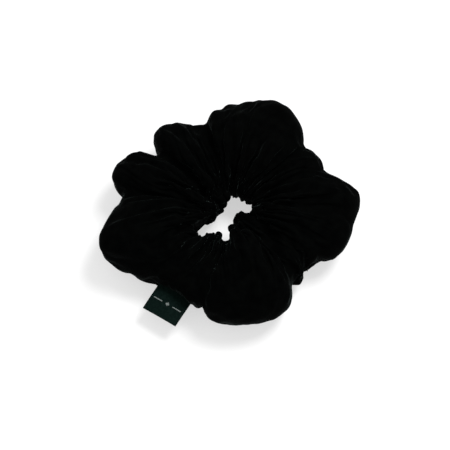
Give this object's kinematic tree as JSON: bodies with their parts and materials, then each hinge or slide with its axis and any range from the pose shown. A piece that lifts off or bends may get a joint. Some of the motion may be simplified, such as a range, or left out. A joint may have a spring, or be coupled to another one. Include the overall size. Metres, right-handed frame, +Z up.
{
  "type": "scrunchie",
  "caption": "Gathered velvet hair scrunchie on an elastic loop, with a folded ribbon label in its seam.",
  "frame": {"origin": "on the axis of the hair opening, on the surface that the scrunchie lies on", "axes": "+Z up along the hair opening, +X the way the loop is pulled, -Y towards the viewer, with the label at lower left"},
  "size_m": [0.1109, 0.1061, 0.032],
  "materials": {
    "velvet": "soft cut pile, near black",
    "black_thread": "spun polyester thread",
    "elastic": "knitted elastic",
    "white_thread": "spun polyester thread",
    "satin_ribbon": "satin weave, dark green-black",
    "woven_mark": "woven in pale grey yarn"
  },
  "bodies": {
    "held_side": {"held_cover": "velvet", "held_seam_thread": "black_thread", "elastic_band": "elastic", "elastic_lap_stitches": "white_thread", "label_tab": "satin_ribbon"},
    "pulled_side": {"pulled_cover": "velvet", "pulled_seam_thread": "black_thread", "closing_seam_thread": "black_thread"},
    "label": {"label_flap": "satin_ribbon", "label_mark": "woven_mark"}
  },
  "joints": [
    {"name": "stretch", "type": "slide", "parent": "held_side", "child": "pulled_side", "axis": [1, 0, 0], "range_m": [0, 0.075], "stiffness_N_per_m": 130, "deforming": ["elastic_band"]},
    {"name": "label_bend", "type": "hinge", "parent": "held_side", "child": "label", "pos_m": [-0.02263, -0.03621, 0.0098], "axis": [-0.848, 0.5299, 0], "range_deg": [-35, 75], "stiffness_Nm_per_rad": 0.0004}
  ]
}
